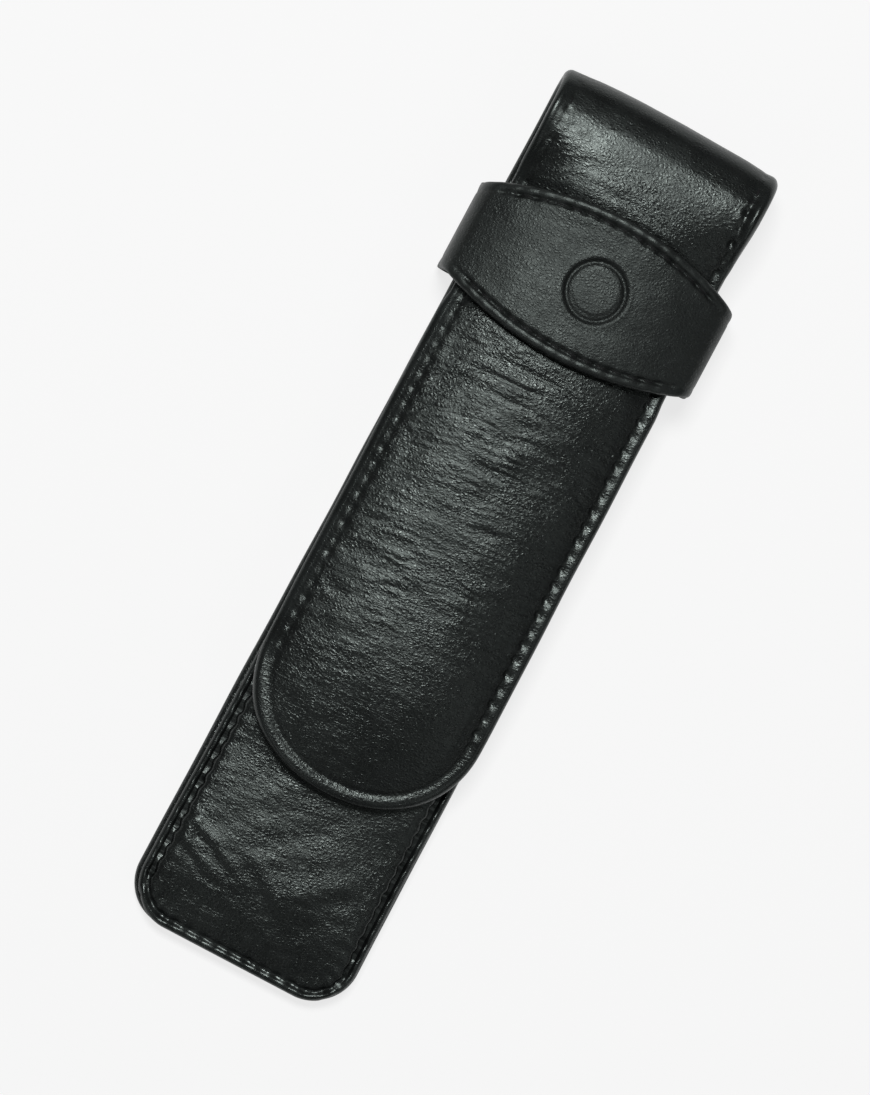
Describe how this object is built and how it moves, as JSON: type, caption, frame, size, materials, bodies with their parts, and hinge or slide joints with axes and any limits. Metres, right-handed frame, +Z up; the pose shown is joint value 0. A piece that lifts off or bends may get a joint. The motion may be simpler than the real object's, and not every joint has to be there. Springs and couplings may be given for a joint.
{
  "type": "pen case",
  "caption": "Slim soft leather case for two pens, with a long flap folded over the mouth and tucked under a lens-shaped keeper band.",
  "frame": {"origin": "on the table under the middle of the case, which lies on its back, closed", "axes": "+X across the case, +Y along it towards the fold of the flap, +Z up from the back towards the flap"},
  "size_m": [0.0474, 0.1599, 0.0186],
  "materials": {
    "black_leather": "soft semi-gloss nappa grain",
    "thin_leather": "matte thin leather",
    "interlining": "bonded fibre, hidden inside",
    "lining": "matte smooth lining"
  },
  "bodies": {
    "case": {"back_leather": "black_leather", "back_interlining": "interlining", "back_lining": "lining", "front_leather": "black_leather", "front_lining": "lining", "mouth_facing": "thin_leather", "divider": "thin_leather", "keeper_leather": "black_leather", "keeper_interlining": "interlining", "keeper_lining": "lining", "keeper_strap": "black_leather"},
    "fold": {"fold_leather": "black_leather", "fold_interlining": "interlining", "fold_lining": "lining"},
    "flap": {"flap_leather": "black_leather", "flap_interlining": "interlining", "flap_lining": "lining"}
  },
  "joints": [
    {"name": "fold_hinge", "type": "hinge", "parent": "case", "child": "fold", "pos_m": [0, 0.07805, 0.00325], "axis": [-1, 0, 0], "range_deg": [0, 90], "deforming": ["keeper_leather", "keeper_interlining", "keeper_lining"]},
    {"name": "flap_hinge", "type": "hinge", "parent": "fold", "child": "flap", "pos_m": [0, 0.07805, 0.01385], "axis": [-1, 0, 0], "range_deg": [0, 90]}
  ],
  "couplings": [
    {"joint": "flap_hinge", "follows": "fold_hinge", "ratio": 1}
  ]
}
